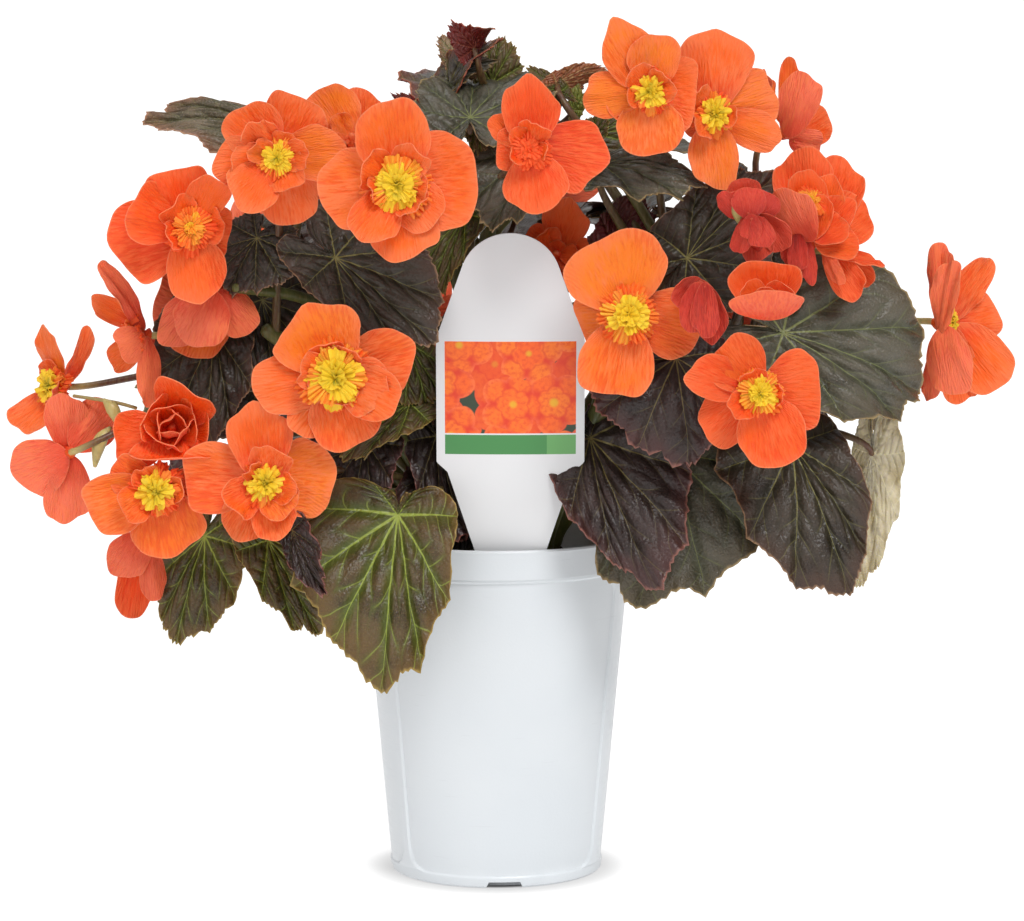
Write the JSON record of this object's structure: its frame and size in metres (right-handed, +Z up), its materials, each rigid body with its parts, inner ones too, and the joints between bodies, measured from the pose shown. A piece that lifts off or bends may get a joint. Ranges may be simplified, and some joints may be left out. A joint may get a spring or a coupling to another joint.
{
  "type": "potted begonia",
  "caption": "Double-flowered begonia with dark, toothed leaves and ruffled orange blooms, growing in a round white nursery pot with a domed plant label stuck in the soil.",
  "frame": {"origin": "centre of the pot's underside, on the surface it stands on", "axes": "+Z up, -Y towards the side with the label and the most blooms, +X to the right seen from there"},
  "size_m": [0.395, 0.2562, 0.3409],
  "materials": {
    "pot": "white moulded plastic, satin, faintly bluish",
    "soil": "dark moist bark and peat mix, rough",
    "label": "white printed plastic card, soft gloss",
    "foliage": "dark bronze-green quilted leaf with yellow-green veins and reddish edges, soft gloss",
    "petals": "saturated orange petal, paler at the edge, coral pink behind, finely veined, satin",
    "buds": "deep coral red bud, satin",
    "stamens": "yellow, grainy, matt"
  },
  "bodies": {
    "root": {"bloom_01": "petals", "bloom_01_stamens": "stamens", "bloom_02": "petals", "bloom_02_stamens": "stamens", "bloom_03": "petals", "bloom_03_stamens": "stamens", "bloom_04": "petals", "bloom_05": "petals", "bloom_06": "petals", "bloom_06_stamens": "stamens", "bloom_07": "petals", "bloom_07_stamens": "stamens", "bloom_08": "petals", "bloom_09": "petals", "bloom_10": "petals", "bloom_14": "petals", "bloom_16": "petals", "bloom_17": "petals", "bloom_17_stamens": "stamens", "bloom_18": "petals", "bloom_18_stamens": "stamens", "bloom_19": "petals", "bloom_20": "petals", "bloom_20_stamens": "stamens", "bloom_21": "petals", "bloom_21_stamens": "stamens", "bloom_22": "petals", "bloom_22_stamens": "stamens", "bloom_23": "petals", "bloom_24": "petals", "bloom_25": "petals", "bloom_26": "petals", "bloom_27": "petals", "bloom_28": "petals", "bloom_29": "petals", "bloom_30": "petals", "bloom_31": "petals", "bloom_32": "petals", "bloom_33": "petals", "bloom_34": "petals", "bloom_35": "petals", "bud_11": "buds", "bud_12": "buds", "bud_13": "buds", "bud_15": "buds", "label": "label", "pot": "pot", "soil": "soil", "stem_back_left": "foliage", "stem_back_right": "foliage", "stem_front_left": "foliage", "stem_front_middle": "foliage", "stem_front_right": "foliage", "stem_left": "foliage", "stem_right": "foliage", "stem_top": "foliage"}
  },
  "joints": []
}
